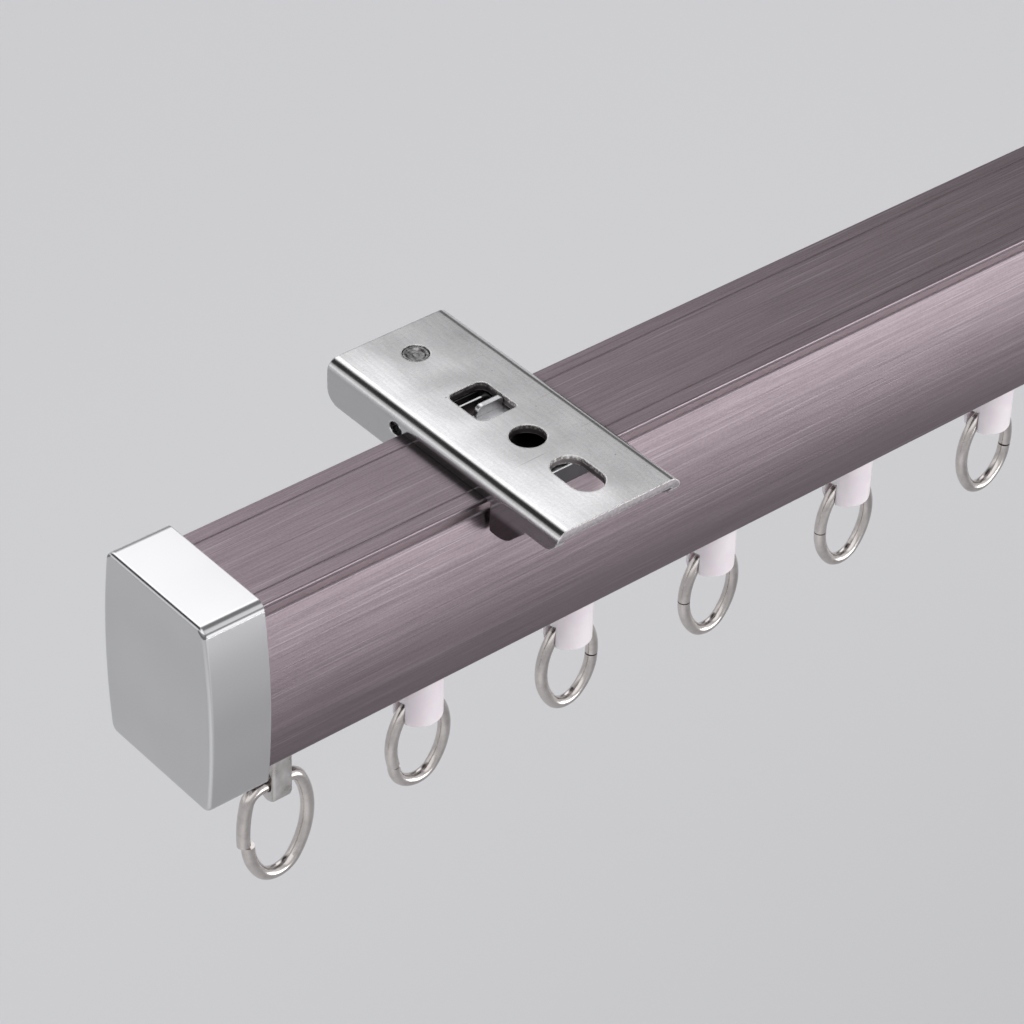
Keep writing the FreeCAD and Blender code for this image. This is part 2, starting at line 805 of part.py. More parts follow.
# Latch plates
def make_latch(label, x):
    body = new_body(label)
    low = TOP + d.latch_lift
    top = low + d.latch_thick
    half = d.cover_wide / 2 - d.sheet_thick - d.latch_side_gap
    plate = Outline(body, "XY_Plane", "plate", low)
    plate.round_box(-half, -d.latch_leg, half, d.latch_far, d.tab_round)
    pad(body, plate, d.latch_thick, "plate_pad")
    leg_half = d.latch_leg_wide / 2
    leg_low = LEDGE + d.tooth_gap
    leg_in = -(d.latch_leg - d.latch_leg_thick)
    leg = Outline(body, "YZ_Plane", "leg", -leg_half)
    leg.draw(
        [
            (-d.latch_leg, leg_low),
            (-d.latch_tooth, leg_low),
            (-d.latch_tooth, LIP_LOW - d.tooth_gap),
            (leg_in, LIP_LOW - d.tooth_gap),
            (leg_in, top),
            (-d.latch_leg, top),
        ]
    )
    pad(body, leg, d.latch_leg_wide, "leg_pad")
    ear = Outline(body, "YZ_Plane", "ear", -d.ear_wide / 2)
    ear.box(d.latch_far - d.latch_leg_thick, leg_low, d.latch_far, top)
    pad(body, ear, d.ear_wide, "ear_pad")
    tab_far = d.tab_line + d.tab_thick / 2
    tab_near = d.tab_line - d.tab_thick / 2
    tab_low_x, tab_high_x = -d.tab_start, d.tab_wide - d.tab_start
    tab_top = top + d.tab_rise
    tab = Outline(body, "XZ_Plane", "tab", -tab_far)
    tab.draw(
        [
            (tab_high_x, low),
            (tab_high_x, tab_top - d.tab_edge),
            (tab_high_x - d.tab_edge, tab_top, d.tab_edge, 1),
            (tab_low_x + d.tab_round, tab_top),
            (tab_low_x, tab_top - d.tab_round, d.tab_round, 1),
            (tab_low_x, low),
        ]
    )
    openings = Outline(body, "XY_Plane", "openings", top + d.sheet_thick)
    openings.box(tab_low_x - d.tab_hole_side, tab_far, tab_high_x, tab_far + d.tab_hole)
    clear_long = d.screw_hole + d.latch_travel + d.screw_clear_gap * 2
    openings.slot_along_y(0, d.latch_travel / 2 - d.hole_line, d.screw_clear, clear_long)
    pocket(body, openings, "openings_cut", d.sheet_thick * 3)
    pad(body, tab, tab_far - tab_near, "tab_pad")
    place(body, x)
    return body


# Latch springs
def make_spring(label, x):
    body = new_body(label)
    start = d.latch_far + d.spring_gap + d.spring_wire / 2
    end = d.rivet_line - d.rivet_shank / 2 - d.spring_gap - d.spring_wire / 2
    section = Outline(body, "XZ_Plane", f"{label}_section")
    section.circle(d.spring_mean / 2, 0, d.spring_wire)
    doc.recompute()
    coil = body.newObject("PartDesign::AdditiveHelix", f"{label}_coil")
    coil.Profile = section.sketch
    coil.ReferenceAxis = (section.sketch, ["V_Axis"])
    coil.Mode = "height-turns-angle"
    coil.setExpression("Height", (end - start).text)
    coil.setExpression("Turns", d.spring_turns.text)
    body.Placement.Rotation = FreeCAD.Rotation(FreeCAD.Vector(1, 0, 0), -90)
    place(body, x, start, COVER_LOW - d.spring_mean / 2 - d.spring_wire)
    return body


def build():
    bodies = [make_rail()]
    cap_x = HALF_TRACK
    bodies.append(make_cap("near_end_cap", -cap_x, 0))
    bodies.append(make_cap("far_end_cap", cap_x, 180))
    stop_x = HALF_TRACK - d.stop_inset
    eye_low = d.eye_rim - d.tongue_drop
    end_ring_top = eye_low + d.ring_seat + d.end_wire / 2
    for side, x in (("near", -stop_x), ("far", stop_x)):
        bodies.append(make_stop(f"{side}_end_stop", x))
        bodies.append(make_end_ring(f"{side}_end_ring", x, end_ring_top))
    bracket_x = HALF_TRACK - d.bracket_inset
    for side, x in (("near", -bracket_x), ("far", bracket_x)):
        bodies.append(make_cover(f"{side}_bracket_cover", x))
        bodies.append(make_latch(f"{side}_latch_plate", x))
        bodies.append(make_spring(f"{side}_latch_spring", x))
        bodies.append(make_rivet(f"{side}_spring_rivet", x))
    ring_z = BAR_LINE + d.bar_round + d.ring_seat + d.wire / 2 - d.ring_tall
    splits = (
        (d.split_drop_1, 0),
        (d.split_drop_2, 180),
        (d.split_drop_3, 0),
        (d.split_drop_4, 0),
        (d.split_drop_5, 180),
    )
    for i in range(int(d.runner_count.value)):
        x = d.first_runner + d.runner_pitch * i - HALF_TRACK
        if i >= d.close_runners.value:
            x = x + d.runner_spread
        bodies.append(make_runner(f"runner_{i + 1:02d}", x))
        bodies.append(make_runner_ring(f"runner_ring_{i + 1:02d}", x, ring_z, *splits[i % len(splits)]))
    return bodies


def check(bodies):
    """Every object has to be sound before anything is written."""
    for item in doc.Objects:
        if "Invalid" in item.State or "Error" in item.State:
            raise RuntimeError(f"{item.Name} is {item.State}")
    for body in bodies:
        if body.Shape.isNull() or not body.Shape.isValid():
            raise RuntimeError(f"{body.Label} has no valid shape")
        if len(body.Shape.Solids) != 1:
            raise RuntimeError(f"{body.Label} has {len(body.Shape.Solids)} solids")


def write(bodies):
    os.makedirs("parts", exist_ok=True)
    for body in bodies:
        body.Shape.exportStep(f"parts/{body.Label}.step")
        print(f"{body.Label}: {body.Shape.Volume:.2f} cubic mm")


pieces = build()
doc.recompute()
check(pieces)
write(pieces)
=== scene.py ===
"""The look of the ceiling curtain track: materials, light, floor, studio and camera.

Lengths are in metres, in the track's own frame: +X along the rail, +Z up, the origin on the ceiling face of
the brackets, midway between their round screw holes. Noise scales are repeats per metre.
"""

import bpy
import math
from mathutils import Matrix, Vector

MM = 0.001

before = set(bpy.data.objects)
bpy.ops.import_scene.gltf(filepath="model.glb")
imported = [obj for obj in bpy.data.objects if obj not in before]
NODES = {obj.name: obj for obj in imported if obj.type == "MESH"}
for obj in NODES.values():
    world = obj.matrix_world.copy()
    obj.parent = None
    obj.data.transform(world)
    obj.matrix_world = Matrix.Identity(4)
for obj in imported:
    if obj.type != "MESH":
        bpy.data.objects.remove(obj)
bpy.context.view_layer.update()

SIDES = ("near", "far")
RUNNERS = [f"{i:02d}" for i in range(1, 11)]

# Camera, solved from the photograph's straight edges. Angles are in degrees.
CAMERA_PLACE = (-343.56 * MM, -264.41 * MM, 260.29 * MM)
CAMERA_AZIMUTH = -40.762
CAMERA_ELEVATION = 37.693
CAMERA_ROLL = 1.938
CAMERA_LENS = 142.22
CAMERA_SENSOR = 36.0
CAMERA_CLIP = (0.01, 30.0)

# Floor, with a patch of painted shade on the latches' side of the track, which the metal mirrors.
FLOOR_DROP = 0.9
FLOOR_HALF = 6.0
PATCH_PLACE = (0.45, -0.5)
PATCH_REACH = (0.3, 1.6)

# Studio: the backdrop's colour as the camera sees it, and the level and tint of the light around the track.
BACKGROUND = (0.68, 0.68, 0.694)
LIT_PLACE = (-90 * MM, 0, -20 * MM)
BASE_LIGHT = 0.68
LIGHT_TINT = (1.0, 1.0, 1.02)

# Studio panels: degrees round the Y axis from +X over +Z, range of the direction's y, softness, radiance.
# The softness is in degrees. Divided by the number below, it is the softness in the direction's y.
PANELS = (
    (52.0, 88.0, 0.35, 0.90, 4.5, 1.65),
    (96.0, 140.0, 0.15, 0.97, 7.0, 0.04),
    (156.0, 174.0, 0.15, 0.97, 5.0, 1.1),
    (30.0, 85.0, -0.40, 0.25, 6.0, 0.25),
    (4.0, 20.0, -0.95, -0.50, 3.0, 1.6),
    (24.0, 62.0, -0.92, -0.40, 4.0, 1.0),
    (95.0, 168.0, -0.92, -0.05, 6.0, 1.4),
    (10.0, 38.0, 0.35, 0.90, 5.0, 0.16),
)
SOFT_DEGREES_PER_UNIT = 60

# Bracket covers: corners, distance from the middle of the track, and front end, back end and middle along Y.
COVER_CORNERS = NODES["far_bracket_cover"].bound_box
BRACKET_PLACE = sum(x for x, _, _ in COVER_CORNERS) / len(COVER_CORNERS)
COVER_FRONT = min(y for _, y, _ in COVER_CORNERS)
COVER_BACK = max(y for _, y, _ in COVER_CORNERS)
COVER_MIDDLE = (COVER_FRONT + COVER_BACK) / 2

# Dome of a cover's top, as metres of fall per square metre across and along it, and the height of its waves.
CROWN_ACROSS = 2.6
CROWN_ALONG = 0.6
WAVE_HEIGHT = 0.2 * MM

# Pairs of places between which a tone comes or goes: heights, places along Y, or distances from the middle
# of a bracket.
HOLES_HALF = (6.0 * MM, 6.4 * MM)
WALL_LEVELS = (-0.60 * MM, -0.35 * MM)
FRONT_PLACES = (COVER_FRONT + 0.1 * MM, COVER_FRONT + 0.3 * MM)
GUARD_LEVELS = (-4.1 * MM, -2.9 * MM)
GUARD_PLACES = (-3.0 * MM, -2.0 * MM)
TAB_PLACES = (7.7 * MM, 7.9 * MM)
TAB_LEVELS = (-1.25 * MM, -1.00 * MM)
PLATE_LEVELS = (-1.55 * MM, -1.35 * MM)
CAP_SIDE_LEVELS = (-23.5 * MM, -9.0 * MM)
CAP_EDGE_LEVELS = (-12.0 * MM, -10.0 * MM)
RAIL_SIDE_LEVELS = (-24.5 * MM, -11.5 * MM)

# Shade of a bracket on the rail: distances from its middle where it ends, and heights where it starts. The
# second pair is a fainter shade that reaches further down the rail's sides.
SHADE_HALF = (8.2 * MM, 11.0 * MM)
SHADE_LEVELS = (-4.5 * MM, -3.5 * MM)
LOW_SHADE_HALF = (6.0 * MM, 8.5 * MM)
LOW_SHADE_LEVELS = (-11.0 * MM, -6.0 * MM)

# Painted light and shade in bands along the rail: a pale groove painted as light in the recess, and dark lip
# and shoulder lines painted as shade. Heights where each comes, heights where it goes, share and colour.
PAINTED_RAIL_BANDS = {
    "groove": ((-3.85 * MM, -3.70 * MM), (-3.00 * MM, -2.90 * MM), 0.9, (0.78, 0.71, 0.735)),
    "lip": ((-3.00 * MM, -2.90 * MM), (-2.62 * MM, -2.50 * MM), 0.5, (0.12, 0.10, 0.11)),
    "shoulder": ((-4.10 * MM, -3.95 * MM), (-3.85 * MM, -3.75 * MM), 0.6, (0.13, 0.11, 0.12)),
}

# How squarely a surface faces an axis where a tone comes or goes, from nought to one.
ROUND_FACING = (0.90, 0.985)
RIM_FACING = (0.86, 0.985)
FLANGE_FACING = (0.90, 0.99)
WALL_FACING = (0.35, 0.65)
CAP_SIDE_FACING = (0.75, 0.95)
CAP_TOP_FACING = (0.90, 0.98)
CAP_EDGE_RISES = (0.13, 0.17)
CAP_EDGE_FALLS = (0.50, 0.64)
CAP_EDGE_SIDE = (0.06, 0.14)

# Colours of the rail.
MAUVE_DARK = (0.205, 0.167, 0.182)
MAUVE_LIGHT = (0.312, 0.257, 0.278)
STROKE_BRIGHT = (0.47, 0.42, 0.44)
STROKE_DARK = (0.14, 0.11, 0.12)
BRACKET_SHADE = (0.075, 0.068, 0.072)
LOW_SHADE = (0.11, 0.095, 0.10)
RAIL_SIDE_PAINTED_SHADE = (0.12, 0.097, 0.107)

# Colours of the caps.
SATIN_DARK = (0.565, 0.565, 0.57)
SATIN_LIGHT = (0.595, 0.595, 0.60)
CAP_SIDE_PAINTED_SHADE = (0.57, 0.57, 0.575)
CAP_SIDE_PAINTED_LIGHT = (0.83, 0.825, 0.83)
CAP_TOP_PAINTED_LIGHT = (0.66, 0.655, 0.655)
CAP_ROUND_HIGHLIGHT = (0.62, 0.62, 0.625)
CAP_EDGE_PAINTED_DARK = (0.20, 0.20, 0.204)

# Colours of the sheet steel pieces.
COVER_DARK = (0.57, 0.565, 0.565)
COVER_LIGHT = (0.68, 0.675, 0.675)
COVER_FLANGE_PAINTED_SHADE = (0.43, 0.43, 0.435)
WALL_PAINTED_SHADE = (0.17, 0.155, 0.155)
TORN_DARK = (0.30, 0.275, 0.265)
TORN_LIGHT = (0.80, 0.77, 0.75)
END_DARK = (0.33, 0.305, 0.315)
END_LIGHT = (0.43, 0.40, 0.41)
PAINTED_RIM_HIGHLIGHT = (0.95, 0.94, 0.93)
GUARD_PAINTED_SHADE = (0.10, 0.08, 0.085)
LATCH_DARK = (0.60, 0.60, 0.61)
LATCH_LIGHT = (0.74, 0.74, 0.75)
LATCH_PAINTED_SHADE = (0.10, 0.095, 0.10)
# The spring steel is painted dark as shade under the cover.
SPRING_DARK = (0.14, 0.14, 0.15)
SPRING_LIGHT = (0.26, 0.26, 0.27)
RIVET_DARK = (0.07, 0.066, 0.066)
RIVET_LIGHT = (0.44, 0.43, 0.43)

# Colours of the rings, the cast stops, the runners and the floor.
RING_DARK = (0.50, 0.466, 0.446)
RING_LIGHT = (0.60, 0.565, 0.54)
CAST_DARK = (0.44, 0.42, 0.405)
CAST_LIGHT = (0.62, 0.60, 0.585)
PLASTIC_DARK = (0.70, 0.645, 0.675)
PLASTIC_LIGHT = (0.74, 0.695, 0.715)
FLOOR_DARK = (0.77, 0.77, 0.78)
FLOOR_LIGHT = (0.80, 0.80, 0.81)
FLOOR_PAINTED_SHADE = (0.50, 0.50, 0.51)

# The range in which most of a noise's values lie.
NOISE_RANGE = (0.3, 0.7)


# Node helpers
class Nodes:
    """Short calls that add nodes to a tree and return their outputs."""

    def __init__(self, tree):
        self.tree = tree
        tree.nodes.clear()

    def node(self, kind, **settings):
        made = self.tree.nodes.new(kind)
        for name, value in settings.items():
            setattr(made, name, value)
        return made

    def link(self, source, target):
        self.tree.links.new(source, target)

    def axes(self, vector):
        split = self.node("ShaderNodeSeparateXYZ")
        self.link(vector, split.inputs["Vector"])
        return tuple(split.outputs[name] for name in "XYZ")

    def ramp(self, value, low, high, out_low=0.0, out_high=1.0, smooth=True):
        made = self.node("ShaderNodeMapRange", interpolation_type="SMOOTHSTEP" if smooth else "LINEAR")
        made.inputs["From Min"].default_value = low
        made.inputs["From Max"].default_value = high
        made.inputs["To Min"].default_value = out_low
        made.inputs["To Max"].default_value = out_high
        self.link(value, made.inputs["Value"])
        return made.outputs["Result"]

    def rise(self, value, levels):
        """Nought below the two levels and one above them."""
        return self.ramp(value, *levels)

    def fall(self, value, levels):
        """One below the two levels and nought above them."""
        return self.ramp(value, *levels, 1.0, 0.0)

    def math(self, kind, first, second):
        made = self.node("ShaderNodeMath", operation=kind)
        for i, value in enumerate((first, second)):
            if isinstance(value, (int, float)):
                made.inputs[i].default_value = value
            else:
                self.link(value, made.inputs[i])
        return made.outputs["Value"]

    def times(self, first, second):
        return self.math("MULTIPLY", first, second)

    def minus(self, first, second):
        return self.math("SUBTRACT", first, second)

    def size(self, value):
        """The value without its sign."""
        return self.math("ABSOLUTE", value, 0.0)

    def total(self, *terms):
        """The sum of values, each given with its weight."""
        products = [self.times(value, weight) for value, weight in terms]
        result = products[0]
        for product in products[1:]:
            result = self.math("ADD", result, product)
        return result

    def band(self, value, rises, falls):
        """One between two pairs of levels and nought outside them."""
        return self.times(self.rise(value, rises), self.fall(value, falls))


class Shader(Nodes):
    """A material with one Principled shader, and calls for the textures and masks that feed it."""

    def __init__(self, name):
        self.material = bpy.data.materials.new(name)
        self.material.use_nodes = True
        super().__init__(self.material.node_tree)
        output = self.node("ShaderNodeOutputMaterial")
        self.surface = self.node("ShaderNodeBsdfPrincipled")
        self.link(self.surface.outputs["BSDF"], output.inputs["Surface"])
        self.place = self.node("ShaderNodeTexCoord").outputs["Object"]

    def set(self, **values):
        """Constants on the shader's own sockets, named with underscores for spaces."""
        for name, value in values.items():
            self.surface.inputs[name.replace("_", " ")].default_value = value

    def use(self, **outputs):
        """Outputs linked to the shader's own sockets, named with underscores for spaces."""
        for name, value in outputs.items():
            self.link(value, self.surface.inputs[name.replace("_", " ")])

    def stretched(self, scale, turn=(0, 0, 0)):
        """The place with its own scale along each axis, turned by radians."""
        mapping = self.node("ShaderNodeMapping")
        mapping.inputs["Scale"].default_value = scale
        mapping.inputs["Rotation"].default_value = turn
        self.link(self.place, mapping.inputs["Vector"])
        return mapping.outputs["Vector"]

    def noise(self, place, scale=1.0, detail=2.0, roughness=0.5):
        made = self.node("ShaderNodeTexNoise")
        made.inputs["Scale"].default_value = scale
        made.inputs["Detail"].default_value = detail
        made.inputs["Roughness"].default_value = roughness
        self.link(place, made.inputs["Vector"])
        return made.outputs["Fac"]

    def spread(self, noise):
        """A noise that mostly runs from nought to one."""
        return self.ramp(noise, *NOISE_RANGE)

    def vary(self, noise, low, high):
        """A number that a noise moves between low and high."""
        return self.ramp(noise, *NOISE_RANGE, low, high, smooth=False)

    def mix(self, factor, low, high):
        """A colour between two colours or outputs."""
        made = self.node("ShaderNodeMix", data_type="RGBA")
        self.link(factor, made.inputs["Factor"])
        for socket, value in ((made.inputs[6], low), (made.inputs[7], high)):
            if isinstance(value, tuple):
                socket.default_value = (*value, 1.0)
            else:
                self.link(value, socket)
        return made.outputs[2]

    def tint(self, colour, mask, share, tone):
        """A colour moved towards a tone, by a share where the mask is one."""
        return self.mix(self.times(mask, share), colour, tone)

    def bump(self, height, distance, strength=1.0, normal=None):
        made = self.node("ShaderNodeBump")
        made.inputs["Strength"].default_value = strength
        made.inputs["Distance"].default_value = distance
        self.link(height, made.inputs["Height"])
        if normal is not None:
            self.link(normal, made.inputs["Normal"])
        return made.outputs["Normal"]

    def soft_edges(self, radius):
        made = self.node("ShaderNodeBevel", samples=4)
        made.inputs["Radius"].default_value = radius
        return made.outputs["Normal"]

    def facing(self):
        """How far the surface faces along each axis, whichever way round."""
        normal = self.node("ShaderNodeTexCoord").outputs["Normal"]
        return tuple(self.size(part) for part in self.axes(normal))

    def rounded(self):
        """One on the round between two flat faces and nought on the faces."""
        x, y, z = self.facing()
        most = self.math("MAXIMUM", self.math("MAXIMUM", x, y), z)
        return self.fall(most, ROUND_FACING)

    def rims(self, radius):
        """One along sharp edges, to about the given distance from them."""
        turned = self.node("ShaderNodeVectorMath", operation="DOT_PRODUCT")
        self.link(self.soft_edges(radius), turned.inputs[0])
        self.link(self.node("ShaderNodeNewGeometry").outputs["Normal"], turned.inputs[1])
        return self.fall(turned.outputs["Value"], RIM_FACING)

    def tangent_round(self, axis):
        made = self.node("ShaderNodeTangent", direction_type="RADIAL", axis=axis)
        return made.outputs["Tangent"]

    def from_bracket(self, x):
        """Distance along the rail from the middle of the bracket on the same side, with its sign."""
        return self.minus(self.size(x), BRACKET_PLACE)


# Materials
def rail_metal():
    """Mauve anodised aluminium, brushed along the rail with fine crisp strokes."""
    m = Shader("mauve_brushed_aluminium")
    grain = m.noise(m.place, scale=3800.0, detail=1.0)
    fine = m.noise(m.stretched((130, 7800, 7800)), detail=2.0, roughness=0.7)
    medium = m.noise(m.stretched((40, 3300, 3300)), detail=1.0)
    streaks = m.noise(m.stretched((9, 420, 420)), detail=1.0)
    strokes = m.noise(m.stretched((42, 5200, 5200), turn=(0, 0.012, 0.010)), detail=1.0)
    cuts = m.noise(m.stretched((50, 5600, 5600), turn=(0, -0.014, -0.008)), detail=1.0)
    bright = m.rise(strokes, (0.64, 0.71))
    dark = m.rise(cuts, (0.65, 0.72))
    tone = m.total((fine, 0.50), (medium, 0.22), (streaks, 0.10), (grain, 0.18))
    colour = m.mix(m.spread(tone), MAUVE_DARK, MAUVE_LIGHT)
    colour = m.tint(colour, bright, 0.40, STROKE_BRIGHT)
    colour = m.tint(colour, dark, 0.35, STROKE_DARK)
    height = m.minus(m.total((fine, 0.6), (medium, 0.4), (bright, 0.5)), dark)
    m.set(Metallic=1.0, Anisotropic=0.75)
    m.use(
        Base_Color=rail_tones(m, colour),
        Roughness=m.vary(medium, 0.28, 0.32),
        Normal=m.bump(height, 0.01 * MM, 0.35, m.soft_edges(0.12 * MM)),
        Tangent=m.tangent_round("X"),
    )
    return m.material


def rail_tones(m, colour):
    """Painted shade of the brackets, painted light and shade in bands along the rail, and painted shade that
    darkens its low side.
    """
    x, _, z = m.axes(m.place)
    across = m.size(m.from_bracket(x))
    shade = m.times(m.fall(across, SHADE_HALF), m.rise(z, SHADE_LEVELS))
    colour = m.tint(colour, shade, 0.75, BRACKET_SHADE)
    low_shade = m.times(m.fall(across, LOW_SHADE_HALF), m.rise(z, LOW_SHADE_LEVELS))
    colour = m.tint(colour, low_shade, 0.45, LOW_SHADE)
    # Painted light in the groove and painted shade along the lip and shoulder.
    for rises, falls, share, tone in PAINTED_RAIL_BANDS.values():
        colour = m.tint(colour, m.band(z, rises, falls), share, tone)
    # Painted shade: the rail's sides darken downwards.
    return m.mix(m.ramp(z, *RAIL_SIDE_LEVELS, out_low=0.70, out_high=0.0), colour, RAIL_SIDE_PAINTED_SHADE)


def cap_metal():
    """Satin silver plate: a faint unevenness, painted light that pales the sides upwards and the top, a
    painted highlight on the rounds, and a painted dark reflection along the top's edges.
    """
    m = Shader("satin_silver")
    cloud = m.noise(m.place, scale=90.0, detail=2.0)
    grain = m.noise(m.place, scale=3200.0, detail=2.0)
    _, _, z = m.axes(m.place)
    _, face_y, face_z = m.facing()
    satin = m.mix(m.spread(cloud), SATIN_DARK, SATIN_LIGHT)
    # Painted shade and light: the sides pale upwards, and the top is painted lighter.
    side = m.mix(m.rise(z, CAP_SIDE_LEVELS), CAP_SIDE_PAINTED_SHADE, CAP_SIDE_PAINTED_LIGHT)
    satin = m.mix(m.rise(face_y, CAP_SIDE_FACING), satin, side)
    satin = m.mix(m.rise(face_z, CAP_TOP_FACING), satin, CAP_TOP_PAINTED_LIGHT)
    # Painted highlight on the rounds between faces, which are also rougher.
    rounds_wear_and_highlight = m.rounded()
    # Painted dark reflection in a band along the rounds at the top of the sides.
    edge = m.band(face_z, CAP_EDGE_RISES, CAP_EDGE_FALLS)
    edge = m.times(edge, m.times(m.rise(face_y, CAP_EDGE_SIDE), m.rise(z, CAP_EDGE_LEVELS)))
    m.set(Metallic=1.0)
    m.use(
        Base_Color=m.mix(edge, m.mix(rounds_wear_and_highlight, satin, CAP_ROUND_HIGHLIGHT), CAP_EDGE_PAINTED_DARK),
        Roughness=m.math("ADD", m.vary(cloud, 0.13, 0.17), m.times(rounds_wear_and_highlight, 0.04)),
        Normal=m.bump(grain, 0.003 * MM, 0.2, m.soft_edges(0.15 * MM)),
    )
    return m.material


def plate_grain(m):
    """The fine grain of plated sheet steel."""
    return m.noise(m.place, scale=3000.0, detail=2.0)


def darker(colour, share):
    """A colour at a share of its brightness."""
    return tuple(share * part for part in colour)


def sheet_steel(name, dark, light, roughness_range, details=None):
    """Bright plated sheet steel with fine grain, small scratches and pits, and a piece's own details."""
    m = Shader(name)
    rolled = m.noise(m.stretched((2600, 240, 2600)), detail=2.0, roughness=0.6)
    cloud = m.noise(m.place, scale=210.0, detail=2.0)
    pits = m.noise(m.place, scale=1500.0, detail=1.0)
    cross = m.noise(m.stretched((110, 2600, 110), turn=(0, 0, 0.6)), detail=1.0)
    along = m.noise(m.stretched((2400, 90, 400), turn=(0, 0, -0.25)), detail=1.0)
    scratch = m.math("MAXIMUM", m.rise(cross, (0.72, 0.77)), m.rise(along, (0.74, 0.79)))
    tone = m.total((rolled, 0.35), (plate_grain(m), 0.35), (cloud, 0.30))
    colour = m.mix(m.rise(tone, (0.32, 0.68)), dark, light)
    colour = m.mix(m.rise(pits, (0.76, 0.82)), colour, darker(dark, 0.45))
    colour = m.tint(colour, scratch, 0.5, darker(dark, 0.6))
    height = m.minus(m.times(rolled, 0.6), m.times(scratch, 0.6))
    normal = m.soft_edges(0.22 * MM)
    roughness = m.vary(cloud, *roughness_range)
    if details is not None:
        colour, roughness, normal = details(m, colour, roughness, normal)
    m.set(Metallic=1.0)
    m.use(Base_Color=colour, Roughness=roughness, Normal=m.bump(height, 0.008 * MM, 0.4, normal))
    return m.material


def latch_details(m, colour, roughness, normal):
    """Painted shade on the latch plate behind its tab and deep below the window."""
    _, y, z = m.axes(m.place)
    behind = m.times(m.rise(y, TAB_PLACES), m.fall(z, TAB_LEVELS))
    painted_shade = m.math("MAXIMUM", behind, m.fall(z, PLATE_LEVELS))
    return m.mix(painted_shade, colour, LATCH_PAINTED_SHADE), roughness, normal


def cover_details(m, colour, roughness, normal):
    """A slightly domed top, painted shade on the flanges, torn hole walls with painted shade deep in them, a
    torn front end painted darker and mauve as shade and a reflection of the rail, a painted highlight along
    the burred rims, and painted shade on the guard.
    """
    x, y, z = m.axes(m.place)
    face_x, face_y, face_z = m.facing()
    across = m.from_bracket(x)
    # Painted shade: the flanges are darker than the top.
    colour = m.tint(colour, m.rise(face_x, FLANGE_FACING), 0.75, COVER_FLANGE_PAINTED_SHADE)
    inside = m.fall(m.size(across), HOLES_HALF)
    front = m.fall(y, FRONT_PLACES)
    upright = m.fall(face_z, WALL_FACING)
    grain = plate_grain(m)
    torn_edge = m.mix(m.rise(grain, (0.42, 0.62)), TORN_DARK, TORN_LIGHT)
    # Torn walls of the holes, with painted shade low in them.
    hole_wall = m.mix(m.rise(z, WALL_LEVELS), WALL_PAINTED_SHADE, torn_edge)
    colour = m.mix(m.times(upright, inside), colour, hole_wall)
    # The front end's torn face, painted darker and mauve as shade and a reflection of the rail.
    end_wall = m.mix(m.spread(grain), END_DARK, END_LIGHT)
    colour = m.mix(m.times(upright, m.times(front, face_y)), colour, end_wall)
    torn = m.times(upright, m.math("MAXIMUM", inside, front))
    roughness = m.math("MAXIMUM", roughness, m.times(torn, 0.5))
    # Painted highlight in patches along the sharp rims, where the sheet is burred.
    coarse = m.noise(m.place, scale=1700.0, detail=1.0)
    rim_highlight = m.times(m.rims(0.28 * MM), m.rise(coarse, (0.34, 0.52)))
    colour = m.tint(colour, rim_highlight, 0.8, PAINTED_RIM_HIGHLIGHT)
    # Painted shade and a dark reflection of the rail on the guard below the cover.
    guard = m.times(m.fall(z, GUARD_LEVELS), m.fall(y, GUARD_PLACES))
    colour = m.tint(colour, guard, 0.9, GUARD_PAINTED_SHADE)
    return colour, roughness, cover_dome(m, across, y, normal)


def cover_dome(m, across, y, normal):
    """The slope of the top's slight dome and waves."""
    along = m.minus(y, COVER_MIDDLE)
    dome = m.times(m.times(across, across), -CROWN_ACROSS)
    dome = m.minus(dome, m.times(m.times(along, along), CROWN_ALONG))
    waves = m.noise(m.place, scale=95.0, detail=1.0)
    dome = m.math("ADD", dome, m.times(waves, WAVE_HEIGHT))
    return m.bump(dome, 1.0, normal=normal)


def ring_metal():
    """Warm nickel-plated wire with a few dull spots."""
    m = Shader("warm_nickel")
    spots = m.noise(m.place, scale=1300.0, detail=3.0, roughness=0.6)
    cloud = m.noise(m.place, scale=260.0, detail=1.0)
    tone = m.total((spots, 0.5), (cloud, 0.5))
    m.set(Metallic=1.0)
    m.use(
        Base_Color=m.mix(m.rise(tone, (0.34, 0.62)), RING_DARK, RING_LIGHT),
        Roughness=m.vary(tone, 0.19, 0.24),
        Normal=m.bump(spots, 0.004 * MM, 0.15),
    )
    return m.material


def cast_metal():
    """Nickel-plated casting with upright tool marks."""
    m = Shader("plated_casting")
    marks = m.noise(m.stretched((1500, 1500, 180)), detail=3.0)
    cloud = m.noise(m.place, scale=500.0, detail=4.0)
    m.set(Metallic=1.0)
    m.use(
        Base_Color=m.mix(m.spread(cloud), CAST_DARK, CAST_LIGHT),
        Roughness=m.vary(cloud, 0.24, 0.38),
        Normal=m.bump(marks, 0.04 * MM, 0.6, m.soft_edges(0.25 * MM)),
    )
    return m.material


def runner_plastic():
    """Milky moulded plastic, a little translucent."""
    m = Shader("milky_plastic")
    cloud = m.noise(m.place, scale=300.0, detail=2.0)
    grain = m.noise(m.place, scale=5200.0, detail=2.0)
    m.set(
        Subsurface_Weight=0.6,
        Subsurface_Radius=(1.0, 0.75, 0.8),
        Subsurface_Scale=1.5 * MM,
        Specular_IOR_Level=0.4,
    )
    m.use(
        Base_Color=m.mix(m.spread(cloud), PLASTIC_DARK, PLASTIC_LIGHT),
        Roughness=m.vary(grain, 0.42, 0.55),
        Normal=m.bump(grain, 0.01 * MM, 0.3, m.soft_edges(0.2 * MM)),
    )
    return m.material


def dress(node, material):
    """Puts a material in every slot of a CAD node."""
    slots = NODES[node].data.materials
    for i in range(len(slots)):
        slots[i] = material


